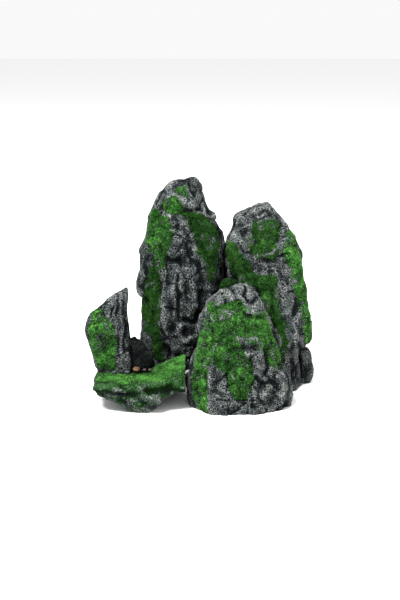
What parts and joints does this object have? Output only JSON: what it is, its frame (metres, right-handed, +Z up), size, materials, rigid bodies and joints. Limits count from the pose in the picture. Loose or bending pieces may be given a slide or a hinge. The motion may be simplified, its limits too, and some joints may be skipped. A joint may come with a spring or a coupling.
{
  "type": "aquarium cave ornament",
  "caption": "Cast resin rockwork for an aquarium: two peaks, a boulder, a spire and a mossy ledge bonded round a vaulted cave with a low swim-through arch.",
  "frame": {"origin": "centre of the whole ornament's footprint, on the surface it stands on", "axes": "+X to the right and +Y to the back as seen from the front, which faces -Y; +Z up"},
  "size_m": [0.1626, 0.1018, 0.15],
  "materials": {
    "rock": "stone-filled casting resin, charcoal with light grey dry-brushed ridges",
    "rock_dark": "stone-filled casting resin, near-black recesses",
    "rock_mossy": "stone-filled casting resin, stained green-brown",
    "moss": "short nylon flock in mixed greens",
    "gravel_grey": "smooth gravel",
    "gravel_orange": "smooth gravel",
    "gravel_rose": "smooth gravel"
  },
  "bodies": {
    "root": {"tall_peak": "rock", "right_peak": "rock", "front_boulder": "rock", "left_spire": "rock", "ledge_slab": "rock", "saddle_stone": "rock_dark", "keystone": "rock_mossy", "heel_stone": "rock", "spire_moss": "moss", "tall_brow_moss": "moss", "tall_crown_moss": "moss", "tall_left_moss": "moss", "tall_foot_moss": "moss", "tall_right_moss": "moss", "right_hollow_moss": "moss", "right_left_moss": "moss", "right_centre_moss": "moss", "right_edge_moss": "moss", "boulder_tip_moss": "moss", "boulder_crown_moss": "moss", "boulder_left_moss": "moss", "boulder_centre_moss": "moss", "boulder_shoulder_moss": "moss", "ledge_carpet_moss": "moss", "grey_pebbles": "gravel_grey", "orange_pebble": "gravel_orange", "rose_pebbles": "gravel_rose"}
  },
  "joints": []
}
